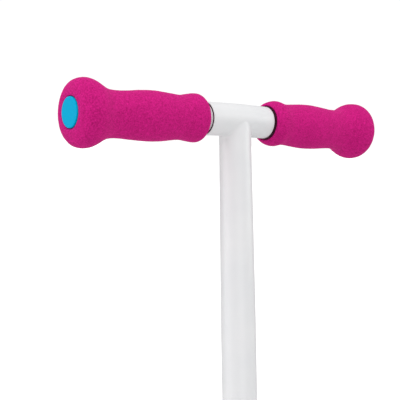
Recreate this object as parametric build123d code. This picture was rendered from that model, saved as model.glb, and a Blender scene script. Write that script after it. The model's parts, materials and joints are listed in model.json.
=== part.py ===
from build123d import *
from math import asin, cos, degrees, radians, sin, sqrt
import os

# A child's three-wheeled kick scooter: one steered front wheel in a fork, two rear wheels under a
# fender brake, and a welded T-bar with foam grips that slides in the steerer.
# Millimetres. +Z up, -Y forward, X along the handlebar with the rider's left hand at +X.
# The origin is on the floor, midway between the front and the back of the wheels.

# ---- overall sizes ----
wheelbase = 490
bar_height = 640            # floor to the middle of the handlebar, lowest setting
rake = 7                    # lean of the steering axis, degrees

# ---- wheels ----
front_wheel_r = 75
front_wheel_w = 28
front_rim_r = 55
front_boss_r = 18
rear_wheel_r = 55
rear_wheel_w = 24
rear_rim_r = 38
rear_boss_r = 15.5
rear_track = 124            # middle to middle of the two rear wheels
tyre_shoulder = 8
rim_wall = 5
rim_lip = 2                 # the tyre stands out past the rim by this much each side
rib_h = 3
rib_w = 8
spoke_count = 5
spoke_w = 10
spoke_t = 11
bearing_r = 11
bearing_w = 7
axle_r = 4
spin_gap = 0.05             # radial and end clearance of everything that turns
spacer_r = 6.5
hub_core_r = 8.5
shield_r = (6.2, 9.4)       # inner and outer radius of a bearing's shield
shield_inset = 0.5
bite = 1                    # shapes that are joined run this far into one another

# ---- fork and headset ----
fork_gap = 40
fork_t = 4
wheel_gap = 12
fork_half_top = 22
fork_half_tip = 14
fork_bend_r = 9
washer_t = 1.5
flange_t = 3
fork_shoulder = 0.86        # share of the leg's height where the front edge starts to draw in
fork_waist = 0.72           # share of its height where both edges run straight again
bush_len = 14
stem_r = 13.6
steerer_wall = 2.3
head_tube_len = 72
head_tube_wall = 2.5
bush_wall = 3
steer_stop = 45
stop_ring_h = 8
stop_ring_w = 8
stop_tab_half = 6
stop_tab_t = 4.5
stop_tab_gap = 3
stop_tab_relief = 2         # between the tab and the shoulders beside it
stop_spare = 0.5            # degrees past the steering's range at each end of the notch

# ---- height clamp ----
collar_wall = 6
collar_h = 28
collar_lip = 3
slit_w = 2.5
ear_reach = 16
ear_half = 10
ear_inset = 2               # below and above, from the collar's ends
collar_chamfer = 1
slit_start = 4              # the steerer's slit begins this far up inside the collar
clamp_bolt_r = 3
clamp_nut_flat = 10
clamp_nut_t = 6
clamp_bolt_out = 2          # thread past the nut
lever_pin_r = 2.5
lever_h = 16
lever_t = 6
lever_gap = 3               # between the closed lever and the collar
cam_r = 7
eye_r = 5.5
eye_half = 3.6
cam_offset = 0.7
cam_bearing = 0.3           # between the collar's ear and the shut cam
lever_room = 4              # slot in the lever round the bolt's eye
lever_tip_turn = -40        # degrees
slide_gap = 0.1

# ---- T-bar ----
bar_r = 11.1
sleeve_wall = 1.6           # outer tube round the bar that the stem is welded to
sleeve_half = 30.5
bar_wall = 1.5
bar_half = 139.5
droop = 1.1                 # each end of the handlebar leans down by this many degrees
bend_half = 12
ring_wall = 1.2
ring_w = 3
stem_shy = 0.2              # the stem's top is this much slimmer than the sleeve
stem_wall = 1.8
taper_top = 14
taper_len = 145
stem_engaged = 97           # length of stem inside the steerer at the lowest setting
weld_leg = 2.4
stem_plug_len = 15
stem_plug_head = 2
plug_shy = 0.33             # the plug's head is this much slimmer than the bar
plug_head = 5.5
plug_round = 0.6
plug_shank = 20
left_grip_gap = 2.3         # bare bar between the sleeve and the foam, as each grip was pushed on
right_grip_gap = 4.9
mouth_ease = 2              # the foam stands off the bar at its mouth, over this depth
mouth_depth = 5
plug_proud = 0.7

# ---- frame ----
neck_r = 14.3
neck_wall = 2
neck_bend_r = 45
neck_lead = 4               # the neck's bend lies this far ahead of the tyre's back edge
neck_fall = 7.6             # from the head tube down to the bend
neck_join = 36              # up the head tube
neck_inset = 1.7            # behind the spine's front end
neck_foot_r = 20            # bend at the foot
neck_foot_run = 4
neck_foot_drop = 16
spine_w = 50
spine_h = 20
spine_wall = 1.5
spine_corner = 2.5
spine_clear = 13            # behind the front tyre
end_cap_t = 3
end_cap_tongue = 8
end_cap_chamfer = 0.8
gusset_t = 4
gusset_h = 55
gusset_gap = 4              # ahead of the deck
gusset_toe = 5
gusset_head = 4             # past the neck's foot at the top
axle_sleeve_r = 11
axle_sleeve_bore = 4.2

# ---- deck ----
deck_w = 140
deck_front_gap = 28         # behind the neck tube
deck_rear_gap = 10          # ahead of the rear wheels
deck_h = 20
deck_skin = 4
deck_wall = 3.5
deck_corner = 28
deck_edge = 3
deck_lift = 1               # skirt over the spine
pad_t = 2.5
pad_margin = 12
strap_w = 25
strap_t = 3
strap_len = 110
strap_inset = 45
screw_x = 40
screw_r = 2.5
screw_len = 15
screw_head_r = 4.6
screw_head_t = 2.8
screw_head_round = 1.4
socket_flat = 3
socket_depth = 1.6
boss_r = 6
rib_x = (-52, -26, 0, 26, 52)
rib_t = 2.5
cross_ribs = 4

# ---- brake ----
brake_pivot_back = 11       # behind the deck's rear edge
brake_pivot_up = 25         # above the spine
brake_gap = 5
fender_t = 3
fender_side = 3             # past the tyres each side
fender_corner = 12
fender_low = 38             # degrees above the horizontal, at the back
fender_high = 128
shoe_low = 84
shoe_high = 104
shoe_t = 6
shoe_w = 18
ear_t = 3
ear_gap = 34
ear_r = 9
lug_gap = 1
lug_t = 8
lug_r = 8
lug_reach = (6, 5)          # the lug's web starts this far behind and above the pivot
lug_spread = (3, 16)        # degrees back from the fender's front edge
bracket_tail = 12
pivot_r = 3
pin_over = 1                # pin past the lugs
pin_head_r = 5
pin_head_t = 2.2
pin_head_chamfer = 0.7
coil_r = 5.2
coil_wire_r = 0.8
coil_pitch = 2.2
coil_turns = 4
leg_up = 50                 # how steeply the spring's upper leg rises, degrees
leg_gap = 0.2

# ---- fasteners ----
axle_head_t = 5.3
axle_flat = 13
nut_t = 8
thread_out = 1.5
big_washer_r = 8
big_washer_t = 1.6
cap_wall = 2
cap_len = 16
cap_grip = 3
cap_round = 5
wide = 200                  # longer than anything it cuts

# ---- places that follow from the sizes ----
front_y = front_wheel_r - (wheelbase + front_wheel_r + rear_wheel_r) / 2
rear_y = front_y + wheelbase
spine_top = rear_wheel_r + spine_h / 2
spine_start = front_y + front_wheel_r + spine_clear
steering = Location((0, front_y, front_wheel_r), (-rake, 0, 0))
rear_axle = Location((0, rear_y, rear_wheel_r))
bridge_low = front_wheel_r + wheel_gap
bridge_top = bridge_low + fork_t
head_low = bridge_top + washer_t + spin_gap + flange_t
head_high = head_low + head_tube_len
collar_low = head_high + flange_t + spin_gap + washer_t
collar_high = collar_low + collar_h
steerer_top = collar_high - collar_lip
steerer_bore_r = stem_r + slide_gap
steerer_r = steerer_bore_r + steerer_wall
bush_r = steerer_r + spin_gap
head_bore_r = bush_r + bush_wall
head_tube_r = head_bore_r + head_tube_wall
bar_up = (bar_height - front_wheel_r) / cos(radians(rake))
stem_low = steerer_top - stem_engaged
rear_hub_half = rear_wheel_w / 2
sleeve_end = rear_track / 2 - rear_hub_half - washer_t
deck_low = spine_top + deck_lift
deck_top = deck_low + deck_h
strap_top = spine_top + strap_t
neck_foot = spine_start + neck_r + neck_inset
deck_front = neck_foot + neck_r + deck_front_gap
deck_rear = rear_y - rear_wheel_r - deck_rear_gap
deck_len = deck_rear - deck_front
deck_mid = (deck_front + deck_rear) / 2
brake_pivot_y = deck_rear + brake_pivot_back
brake_pivot_z = spine_top + brake_pivot_up
fender_r = rear_wheel_r + brake_gap + shoe_t
sleeve_r = bar_r + sleeve_wall
ring_r = bar_r + ring_wall
stem_top_r = sleeve_r - stem_shy
plug_r = bar_r - plug_shy
plug_face = bar_half + plug_head

parts = {}


def rod_x(radius, start, end, y=0, z=0):
    """A round bar along X from start to end."""
    return Pos((start + end) / 2, y, z) * Rot(0, 90, 0) * Cylinder(radius, end - start)


def ring_x(outer, inner, start, end, y=0, z=0):
    """A round sleeve along X."""
    return rod_x(outer, start, end, y, z) - rod_x(inner, start, end, y, z)


def rod_z(radius, start, end):
    return Pos(0, 0, (start + end) / 2) * Cylinder(radius, end - start)


def ring_z(outer, inner, start, end):
    return rod_z(outer, start, end) - rod_z(inner, start, end)


def block(x0, x1, y0, y1, z0, z1):
    return Pos((x0 + x1) / 2, (y0 + y1) / 2, (z0 + z1) / 2) * Box(x1 - x0, y1 - y0, z1 - z0)


def hex_x(flat, start, end, y=0, z=0):
    """A hexagon nut or head along X, with its corners turned off."""
    face = RegularPolygon(flat / 2, 6, major_radius=False)
    nut = extrude(Plane.YZ * face, end - start)
    round_bar = chamfer(rod_x(flat * 0.57, 0, end - start).edges(), 0.5)
    return Pos(start, y, z) * (nut & round_bar)


def slab_x(points, start, end):
    """A plate across X whose outline is a list of (y, z) points."""
    face = Plane.YZ * Polygon(*points, align=None)
    return Pos(start, 0, 0) * extrude(face, end - start, dir=(1, 0, 0))


def tube_along(path, outer, inner):
    """A bent tube: a ring carried along a path."""
    face = Circle(outer) - Circle(inner) if inner else Circle(outer)
    return sweep(Plane(path @ 0, z_dir=path % 0) * face, path)


# ---- wheels ----
def bearing_pair(half):
    """Two ball bearings with shields set back from their rings."""
    pair = []
    for side in (-1, 1):
        race = ring_x(bearing_r, axle_r + spin_gap, half - bearing_w, half)
        race -= ring_x(shield_r[1], shield_r[0], half - shield_inset, half)
        pair.append(race if side > 0 else mirror(race, Plane.YZ))
    return pair


def hub(rim_r, width, boss_r, spokes):
    """A moulded wheel centre: a ribbed rim, spokes and a boss with a bearing seat each side."""
    half = width / 2
    rim_half = half - rim_lip
    rim = ring_x(rim_r, rim_r - rim_wall, -rim_half, rim_half)
    rib = ring_x(rim_r + rib_h, rim_r - bite, -rib_w / 2, rib_w / 2)
    body = rim + rib + rod_x(boss_r, -half, half)
    for i in range(spokes):
        spoke = block(-spoke_t / 2, spoke_t / 2, -spoke_w / 2, spoke_w / 2, boss_r - 2 * bite, rim_r - bite)
        body += Rot(360 / spokes * i, 0, 0) * spoke
    body -= rod_x(hub_core_r, -half, half)
    for end in (-half, half - bearing_w):
        body -= rod_x(bearing_r, end, end + bearing_w)
    return body


def tyre(wheel_r, rim_r, width):
    """A foamed tyre with a rounded crown, seated over the rim's rib."""
    body = ring_x(wheel_r, rim_r, -width / 2, width / 2)
    crown = [e for e in body.edges().filter_by(GeomType.CIRCLE) if e.radius > rim_r]
    body = fillet(crown, tyre_shoulder)
    return body - ring_x(rim_r + rib_h, rim_r, -rib_w / 2, rib_w / 2)


def wheel(name, place, wheel_r, width, rim_r, boss_r):
    half = width / 2
    parts[name + "_tyre"] = place * tyre(wheel_r, rim_r, width)
    parts[name + "_hub"] = place * hub(rim_r, width, boss_r, spoke_count)
    parts[name + "_bearings"] = [place * b for b in bearing_pair(half)]
    inside = ring_x(spacer_r, axle_r + spin_gap, bearing_w - half, half - bearing_w)
    parts[name + "_bearing_spacer"] = place * inside


def hub_cap(side):
    """A domed cap that snaps over the outer boss and hides the axle nut."""
    start = rear_hub_half - cap_grip
    outer = rod_x(rear_boss_r + cap_wall, start, rear_hub_half + cap_len)
    rim = [e for e in outer.edges().filter_by(GeomType.CIRCLE)]
    outer = fillet(max(rim, key=lambda e: e.center().X), cap_round)
    hollow = rod_x(rear_boss_r - cap_wall, start, rear_hub_half + cap_len - cap_wall)
    cap = outer - hollow - rod_x(rear_boss_r, start, rear_hub_half)
    return cap if side > 0 else mirror(cap, Plane.YZ)


wheel("front", steering, front_wheel_r, front_wheel_w, front_rim_r, front_boss_r)
for side_name, side in (("rear_left", 1), ("rear_right", -1)):
    place = rear_axle * Location((side * rear_track / 2, 0, 0))
    wheel(side_name, place, rear_wheel_r, rear_wheel_w, rear_rim_r, rear_boss_r)
    parts[side_name + "_hub_cap"] = place * hub_cap(side)

# ---- front axle ----
leg_out = fork_gap / 2 + fork_t
washer_out = leg_out + big_washer_t
axle_end = washer_out + nut_t + thread_out
bolt_shank = rod_x(axle_r, -washer_out, axle_end)
bolt_head = hex_x(axle_flat, -washer_out - axle_head_t, -washer_out)
parts["front_axle_bolt"] = steering * (bolt_shank + bolt_head)
parts["front_axle_nut"] = steering * (hex_x(axle_flat, washer_out, washer_out + nut_t) - bolt_shank)
parts["front_axle_washers"] = []
parts["front_axle_spacers"] = []
for side in (-1, 1):
    flat = sorted((side * leg_out, side * washer_out))
    tube = sorted((side * (front_wheel_w / 2 + spin_gap), side * fork_gap / 2))
    parts["front_axle_washers"].append(steering * ring_x(big_washer_r, axle_r, *flat))
    parts["front_axle_spacers"].append(steering * ring_x(spacer_r, axle_r, *tube))


# ---- fork ----
def fork():
    """A steel strap bent into a U over the wheel, with a tab turned up at the front as steering stop."""
    high = Rectangle(2 * leg_out, bridge_top + 2 * fork_half_tip, align=(Align.CENTER, Align.MIN))
    high = Pos(0, -2 * fork_half_tip) * high
    high = fillet(high.vertices().group_by(Axis.Y)[-1], fork_bend_r)
    low = Rectangle(fork_gap, bridge_low + 2 * fork_half_tip, align=(Align.CENTER, Align.MIN))
    low = Pos(0, -2 * fork_half_tip) * low
    low = fillet(low.vertices().group_by(Axis.Y)[-1], fork_bend_r - fork_t)
    front = stop_tab_front
    strap = Pos(0, wide / 2, 0) * extrude(Plane.XZ * (high - low), wide)
    outline = [
        (-front, bridge_top), (fork_half_top, bridge_top), (fork_half_top, bridge_top * fork_waist),
        (fork_half_tip, 0), (-fork_half_tip, 0), (-fork_half_top, bridge_top * fork_waist),
        (-front, bridge_top * fork_shoulder),
    ]
    side = slab_x(outline, -leg_out, leg_out) + rod_x(fork_half_tip, -leg_out, leg_out)
    strap = strap & side
    for side in (-1, 1):
        beside = sorted((side * (stop_tab_half + stop_tab_relief), side * (leg_out + bite)))
        strap -= block(*beside, -front - bite, -fork_half_top, 0, bridge_top + bite)
    tab_in = stop_tab_t - front
    strap += block(-stop_tab_half, stop_tab_half, -front, tab_in, bridge_top - bite, head_low + stop_ring_h)
    strap -= rod_x(axle_r, -leg_out, leg_out)
    return strap - rod_z(steerer_r, bridge_low - bite, bridge_top + bite)


stop_tab_front = head_tube_r + stop_tab_gap + stop_tab_t
parts["fork"] = steering * fork()

# ---- steerer, headset and height clamp ----
slit_side = slit_w / 2
steerer = ring_z(steerer_r, steerer_bore_r, bridge_low, steerer_top)
slit = block(-slit_side, slit_side, 0, wide, collar_low + slit_start, collar_high)
parts["steerer_tube"] = steering * (steerer - slit)
parts["thrust_washer"] = steering * ring_z(head_bore_r, steerer_r, bridge_top, bridge_top + washer_t)
parts["top_washer"] = steering * ring_z(head_bore_r, steerer_r, collar_low - washer_t, collar_low)


def headset_bush(flange_low, sleeve_low):
    sleeve = ring_z(head_bore_r, bush_r, sleeve_low, sleeve_low + bush_len)
    return sleeve + ring_z(head_tube_r, bush_r, flange_low, flange_low + flange_t)


parts["lower_headset_bush"] = steering * headset_bush(head_low - flange_t, head_low)
parts["upper_headset_bush"] = steering * headset_bush(head_high, head_high - bush_len)

collar_r = steerer_r + collar_wall
collar_mid = (collar_low + collar_high) / 2
ear_back = collar_r + ear_reach
bolt_y = collar_r + ear_reach / 2 + bite
lever_pin_x = ear_half + cam_bearing + cam_r + cam_offset


def clamp_collar():
    """A split aluminium collar with two ears that the lever's bolt pulls together."""
    body = rod_z(collar_r, collar_low, collar_high)
    body = chamfer(body.edges().filter_by(GeomType.CIRCLE), collar_chamfer)
    body += block(-ear_half, ear_half, steerer_r + bite, ear_back, collar_low + ear_inset, collar_high - ear_inset)
    body -= rod_z(steerer_r, collar_low - bite, steerer_top)
    body -= rod_z(steerer_bore_r, collar_low - bite, collar_high + bite)
    body -= block(-slit_side, slit_side, 0, wide, collar_low - bite, collar_high + bite)
    return body - rod_x(clamp_bolt_r, -ear_half - bite, ear_half + bite, bolt_y, collar_mid)


parts["clamp_collar"] = steering * clamp_collar()
pin_at = Pos(lever_pin_x, bolt_y, 0)
clamp_nut_end = -ear_half - clamp_nut_t
clamp_shank = rod_x(clamp_bolt_r, clamp_nut_end - clamp_bolt_out, lever_pin_x - clamp_bolt_r, bolt_y, collar_mid)
eye = pin_at * ring_z(eye_r, lever_pin_r, collar_mid - eye_half, collar_mid + eye_half)
clamp_shank -= pin_at * rod_z(lever_pin_r, collar_mid - eye_half, collar_mid + eye_half)
parts["clamp_bolt"] = steering * (clamp_shank + eye)
clamp_nut = hex_x(clamp_nut_flat, clamp_nut_end, -ear_half, bolt_y, collar_mid)
parts["clamp_nut"] = steering * (clamp_nut - rod_x(clamp_bolt_r, -wide, 0, bolt_y, collar_mid))
pin_low = collar_mid - lever_h / 2 - pin_over
pin_high = collar_mid + lever_h / 2 + pin_over
parts["lever_pin"] = steering * pin_at * rod_z(lever_pin_r, pin_low, pin_high)


def clamp_lever():
    """A cam lever that lies round the collar when shut."""
    low, high = collar_mid - lever_h / 2, collar_mid + lever_h / 2
    inner = collar_r + lever_gap
    band = Circle(inner + lever_t) - Circle(inner)
    keep = Polygon((0, 0), (60, -52), (90, 0), (60, 82), align=None)
    band = band & keep
    cam = Pos(lever_pin_x - cam_offset, bolt_y) * Circle(cam_r)
    neck = Polygon((lever_pin_x - 4.5, bolt_y - 2), (inner - 5, 15), (inner + 3, 12),
                   (lever_pin_x + 5, bolt_y - 2), align=None)
    tip = Rot(0, 0, lever_tip_turn) * Pos(inner + lever_t / 2, 0) * Circle(lever_t / 2 + bite)
    outline = (band + neck + tip) - Circle(inner) + cam
    outline -= Rectangle(2 * (ear_half + cam_bearing), wide)
    outline -= Pos(lever_pin_x, bolt_y) * Circle(lever_pin_r + spin_gap)
    body = Pos(0, 0, low) * extrude(outline, high - low)
    room_half = eye_half + cam_bearing
    room = pin_at * rod_z(eye_r + lever_room, collar_mid - room_half, collar_mid + room_half)
    return body - room


parts["clamp_lever"] = steering * clamp_lever()

# ---- head tube and steering stop ----
parts["head_tube"] = steering * ring_z(head_tube_r, head_bore_r, head_low, head_high)
stop_half = steer_stop + degrees(asin(stop_tab_half / (head_tube_r + stop_tab_gap))) + stop_spare
stop_ring = ring_z(head_tube_r + stop_ring_w, head_tube_r, head_low + 1, head_low + 1 + stop_ring_h)
stop_x, stop_y = wide * sin(radians(stop_half)), wide * cos(radians(stop_half))
notch = Polygon((0, 0), (-stop_x, -stop_y), (-stop_x, -2 * wide), (stop_x, -2 * wide), (stop_x, -stop_y), align=None)
notch = Pos(0, 0, head_low) * extrude(notch, 2 * stop_ring_h, dir=(0, 0, 1))
parts["steering_stop_ring"] = steering * (stop_ring - notch)

# ---- neck, spine and rear axle sleeve ----
join = steering * Location((0, 0, head_low + neck_join))
neck_top = join.position
path = FilletPolyline(
    (0, neck_top.Y, neck_top.Z), (0, front_y + front_wheel_r - neck_lead, neck_top.Z - neck_fall),
    (0, neck_foot, spine_top), (0, neck_foot + neck_foot_run, spine_top - neck_foot_drop),
    radius=(neck_bend_r, neck_foot_r),
)
head_core = steering * rod_z(head_tube_r, head_low, head_high)
below_spine = block(-wide, wide, neck_foot - wide, neck_foot + wide, spine_top - wide, spine_top)
neck_solid = tube_along(path, neck_r, 0) - head_core - below_spine
neck = tube_along(path, neck_r, neck_r - neck_wall) - head_core - below_spine
parts["neck_tube"] = neck.solids().sort_by(SortBy.VOLUME)[-1]
gusset_back = deck_front - gusset_gap
gusset = slab_x(
    [(neck_foot - 2 * neck_r, spine_top + gusset_h), (neck_foot, spine_top), (gusset_back, spine_top),
     (gusset_back, spine_top + gusset_toe), (neck_foot + gusset_head, spine_top + gusset_h)],
    -gusset_t / 2, gusset_t / 2,
)
gusset -= neck_solid
parts["neck_gusset"] = gusset.solids().sort_by(Axis.Y)[-1]

spine = block(-spine_w / 2, spine_w / 2, spine_start, rear_y, spine_top - spine_h, spine_top)
spine = fillet(spine.edges().filter_by(Axis.Y), spine_corner)
inside_w = spine_w - 2 * spine_wall
inside_h = spine_h - 2 * spine_wall
spine_mid = spine_top - spine_h / 2
spine_void = Pos(0, (spine_start + rear_y) / 2, spine_mid) * Box(inside_w, rear_y - spine_start, inside_h)
spine_void = fillet(spine_void.edges().filter_by(Axis.Y), spine_corner - spine_wall)
spine = spine - spine_void - rod_x(axle_sleeve_r, -wide, wide, rear_y, rear_wheel_r)
parts["spine_tube"] = spine.solids().sort_by(SortBy.VOLUME)[-1]
cap_plate = block(-spine_w / 2, spine_w / 2, spine_start - end_cap_t, spine_start, spine_top - spine_h, spine_top)
cap_plate = fillet(cap_plate.edges().filter_by(Axis.Y), spine_corner)
cap_plate = chamfer(cap_plate.faces().sort_by(Axis.Y)[0].edges(), end_cap_chamfer)
tongue = spine_void & block(-wide, wide, spine_start, spine_start + end_cap_tongue, 0, spine_top)
parts["spine_end_cap"] = cap_plate + tongue
sleeve = ring_x(axle_sleeve_r, axle_sleeve_bore, -sleeve_end, sleeve_end)
parts["rear_axle_sleeve"] = rear_axle * sleeve

# ---- rear axle ----
hub_out = rear_track / 2 + rear_hub_half
rear_washer = (hub_out + spin_gap, hub_out + spin_gap + big_washer_t)
rear_nut_end = rear_washer[1] + nut_t
rod_end = rear_nut_end + thread_out
parts["rear_axle_rod"] = rear_axle * rod_x(axle_r, -rod_end, rod_end)
parts["rear_axle_spacers"] = []
parts["rear_axle_washers"] = []
parts["rear_axle_nuts"] = []
for side in (-1, 1):
    gap = sorted((side * sleeve_end, side * (sleeve_end + washer_t - spin_gap)))
    flat = sorted(side * x for x in rear_washer)
    nut = sorted((side * rear_washer[1], side * rear_nut_end))
    hex_nut = hex_x(axle_flat, *nut) - rod_x(axle_r, *nut)
    parts["rear_axle_spacers"].append(rear_axle * ring_x(spacer_r, axle_r, *gap))
    parts["rear_axle_washers"].append(rear_axle * ring_x(big_washer_r - 1, axle_r, *flat))
    parts["rear_axle_nuts"].append(rear_axle * hex_nut)

# ---- deck ----
strap_rows = (deck_front + strap_inset, deck_rear - strap_inset)
screw_spots = [(side * screw_x, y) for side in (-1, 1) for y in strap_rows]


def deck():
    """A moulded deck: a top skin with a skirt, ribs and screw bosses below it."""
    plan = RectangleRounded(deck_w, deck_len, deck_corner)
    body = Pos(0, deck_mid, deck_low) * extrude(plan, deck_h)
    body = fillet(body.faces().sort_by(Axis.Z)[-1].edges(), deck_edge)
    inner_plan = RectangleRounded(deck_w - 2 * deck_wall, deck_len - 2 * deck_wall, deck_corner - deck_wall)
    hollow = Pos(0, deck_mid, deck_low) * extrude(inner_plan, deck_h - deck_skin)
    ribs = Part()
    for x in rib_x:
        ribs += block(x - rib_t / 2, x + rib_t / 2, deck_front, deck_rear, deck_low, deck_top - deck_skin)
    for i in range(cross_ribs):
        y = deck_front + deck_len * (i + 1) / (cross_ribs + 1)
        ribs += block(-deck_w / 2, deck_w / 2, y - rib_t / 2, y + rib_t / 2, deck_low, deck_top - deck_skin)
    for y in strap_rows:
        ribs -= block(-strap_len / 2, strap_len / 2, y - strap_w / 2, y + strap_w / 2, deck_low - bite, strap_top)
    for x, y in screw_spots:
        ribs += Pos(x, y, 0) * rod_z(boss_r, strap_top, deck_top - deck_skin)
    body = body - (hollow - ribs)
    for x, y in screw_spots:
        body -= Pos(x, y, 0) * rod_z(screw_r, strap_top - bite, spine_top + screw_len)
    return body


parts["deck"] = deck()
pad_plan = RectangleRounded(deck_w - 2 * pad_margin, deck_len - 2 * pad_margin, deck_corner - pad_margin / 2)
parts["deck_grip_pad"] = Pos(0, deck_mid, deck_top) * extrude(pad_plan, pad_t)
parts["deck_straps"] = []
parts["deck_screws"] = []
for y in strap_rows:
    strap = block(-strap_len / 2, strap_len / 2, y - strap_w / 2, y + strap_w / 2, spine_top, strap_top)
    for x in (-screw_x, screw_x):
        strap -= Pos(x, y, 0) * rod_z(screw_r, spine_top, strap_top)
    parts["deck_straps"].append(strap)
for x, y in screw_spots:
    head = rod_z(screw_head_r, spine_top - screw_head_t, spine_top)
    head = fillet(head.edges().group_by(Axis.Z)[0], screw_head_round)
    socket = extrude(RegularPolygon(socket_flat / 2, 6, major_radius=False), socket_depth)
    socket = Pos(0, 0, spine_top - screw_head_t) * socket
    screw = head + rod_z(screw_r, spine_top, spine_top + screw_len) - socket
    parts["deck_screws"].append(Pos(x, y, 0) * screw)

# ---- brake ----
fender_half = rear_track / 2 + rear_hub_half + fender_side
lug_in = ear_gap / 2 + ear_t + lug_gap
lug_out = lug_in + lug_t
ear_low_y = brake_pivot_y - ear_r
ear_high_y = brake_pivot_y + ear_r


def sector(low, high, radius):
    """A wedge round the rear axle between two angles above the rearward horizontal."""
    steps = [low + (high - low) * i / 4 for i in range(5)]
    outer = [(radius * cos(radians(a)), radius * sin(radians(a))) for a in steps]
    return slab_x([(0, 0)] + outer, -wide, wide)


def arch(inner, outer, half, low, high):
    return ring_x(outer, inner, -half, half) & sector(low, high, 2 * outer)


def brake_fender():
    """A curved plate over both rear wheels, hinged at its front edge on two lugs."""
    plate = arch(fender_r, fender_r + fender_t, fender_half, fender_low, fender_high)
    corners = [e for e in plate.edges().filter_by(GeomType.LINE) if abs(e.length - fender_t) < 0.1]
    body = rear_axle * fillet(corners, fender_corner)
    meet = fender_r + fender_t / 2
    high = radians(fender_high - lug_spread[0])
    near = (rear_y + meet * cos(high), rear_wheel_r + meet * sin(high))
    back = radians(fender_high - lug_spread[1])
    far = (rear_y + meet * cos(back), rear_wheel_r + meet * sin(back))
    long, short = lug_reach
    ahead = (brake_pivot_y - long, brake_pivot_z + short)
    behind = (brake_pivot_y + short, brake_pivot_z - long)
    for side in (-1, 1):
        span = sorted((side * lug_in, side * lug_out))
        lug = slab_x([ahead, near, far, behind], *span)
        lug += rod_x(lug_r, *span, brake_pivot_y, brake_pivot_z)
        body += lug
        body -= rod_x(pivot_r + spin_gap, *span, brake_pivot_y, brake_pivot_z)
    return body


parts["brake_fender"] = brake_fender()
parts["brake_shoes"] = []
for side in (-1, 1):
    shoe = arch(fender_r - shoe_t, fender_r, shoe_w / 2, shoe_low, shoe_high)
    parts["brake_shoes"].append(rear_axle * Location((side * rear_track / 2, 0, 0)) * shoe)

bracket = block(-ear_gap / 2 - ear_t, ear_gap / 2 + ear_t, ear_low_y, ear_high_y + bracket_tail, spine_top, strap_top)
for side in (-1, 1):
    span = sorted((side * ear_gap / 2, side * (ear_gap / 2 + ear_t)))
    bracket += block(*span, ear_low_y, ear_high_y, spine_top, brake_pivot_z)
    bracket += rod_x(ear_r, *span, brake_pivot_y, brake_pivot_z)
bracket -= rod_x(pivot_r, -wide, wide, brake_pivot_y, brake_pivot_z)
parts["brake_bracket"] = bracket
pin_half = lug_out + pin_over
pin = rod_x(pivot_r, -pin_half, pin_half, brake_pivot_y, brake_pivot_z)
for side in (-1, 1):
    span = sorted((side * pin_half, side * (pin_half + pin_head_t)))
    pin += chamfer(rod_x(pin_head_r, *span, brake_pivot_y, brake_pivot_z).edges(), pin_head_chamfer)
parts["brake_pin"] = pin


def brake_spring():
    """A torsion spring on the pin: one leg stands on the bracket, the other holds up the fender."""
    height = coil_pitch * (coil_turns - (90 - leg_up) / 360)
    line = Helix(coil_pitch, height, coil_r, center=(0, 0, -height / 2))
    rise = radians(leg_up)
    back = coil_r * sin(rise) - (rear_y - brake_pivot_y)
    above = brake_pivot_z - rear_wheel_r - coil_r * cos(rise)
    along = -(back * cos(rise) + above * sin(rise))
    clear = fender_r - coil_wire_r - leg_gap
    high_leg = along + sqrt(along**2 + clear**2 - back**2 - above**2)
    low_leg = brake_pivot_z - strap_top - leg_gap
    start, end = line @ 0, line @ 1
    wire = Wire([Edge.make_line(start - (line % 0) * low_leg, start), line.edge(),
                 Edge.make_line(end, end + (line % 1) * high_leg)])
    spring = sweep(Plane(wire @ 0, z_dir=wire % 0) * Circle(coil_wire_r), wire)
    return Pos(0, brake_pivot_y, brake_pivot_z) * Rot(0, 90, 0) * Rot(0, 0, 90) * spring


parts["brake_spring"] = brake_spring()

# ---- T-bar ----
tee = steering * Location((0, 0, bar_up))
left_half = tee * Location((0, 0, 0), (0, droop, 0))
right_half = tee * Location((0, 0, 0), (0, -droop, 0))


def bar_path(half):
    """The handlebar's line: two straight halves that lean down, joined by a slight bend."""
    down = sin(radians(droop))
    ends = [(-half * cos(radians(droop)), 0, -half * down), (half * cos(radians(droop)), 0, -half * down)]
    return FilletPolyline(ends[0], (0, 0, 0), ends[1], radius=bend_half / sin(radians(droop)))


sleeve_core = tube_along(bar_path(sleeve_half), sleeve_r, 0)
bar_core = tube_along(bar_path(bar_half), bar_r, 0)
tee_sleeve = sleeve_core - bar_core
left_seat = Rot(0, droop, 0) * rod_x(ring_r, sleeve_half - ring_w, sleeve_half + bite)
right_seat = Rot(0, -droop, 0) * rod_x(ring_r, -sleeve_half - bite, ring_w - sleeve_half)
tee_sleeve = tee_sleeve - left_seat - right_seat
parts["tee_sleeve"] = tee * tee_sleeve
parts["crossbar"] = tee * tube_along(bar_path(bar_half), bar_r, bar_r - bar_wall)

taper_high = bar_up - taper_top
taper_low = taper_high - taper_len


def stem_shape(wall):
    """The stem: a straight tube, swaged a little slimmer towards the handlebar."""
    outline = Polygon(
        (0, stem_low), (stem_r - wall, stem_low), (stem_r - wall, taper_low),
        (stem_top_r - wall, taper_high), (stem_top_r - wall, bar_up), (0, bar_up), align=None,
    )
    return revolve(Plane.XZ * outline, Axis.Z)


stem_solid = stem_shape(0)
sleeve_above = Pos(0, 0, bar_up) * sleeve_core


def stem_tube():
    """The stem, coped to the sleeve, with the weld that fills the corner between the two."""
    joined = sleeve_above + (stem_solid & rod_z(2 * stem_r, taper_low, bar_up))
    seam = [
        e for e in joined.edges()
        if e.geom_type not in (GeomType.CIRCLE, GeomType.LINE)
        and e.bounding_box().max.Z < bar_up + bite and e.length > stem_top_r / 2
    ]
    welded = fillet(seam, weld_leg) + stem_solid
    stem = welded - stem_shape(stem_wall) - sleeve_above
    return stem.solids().sort_by(SortBy.VOLUME)[-1]


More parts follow.
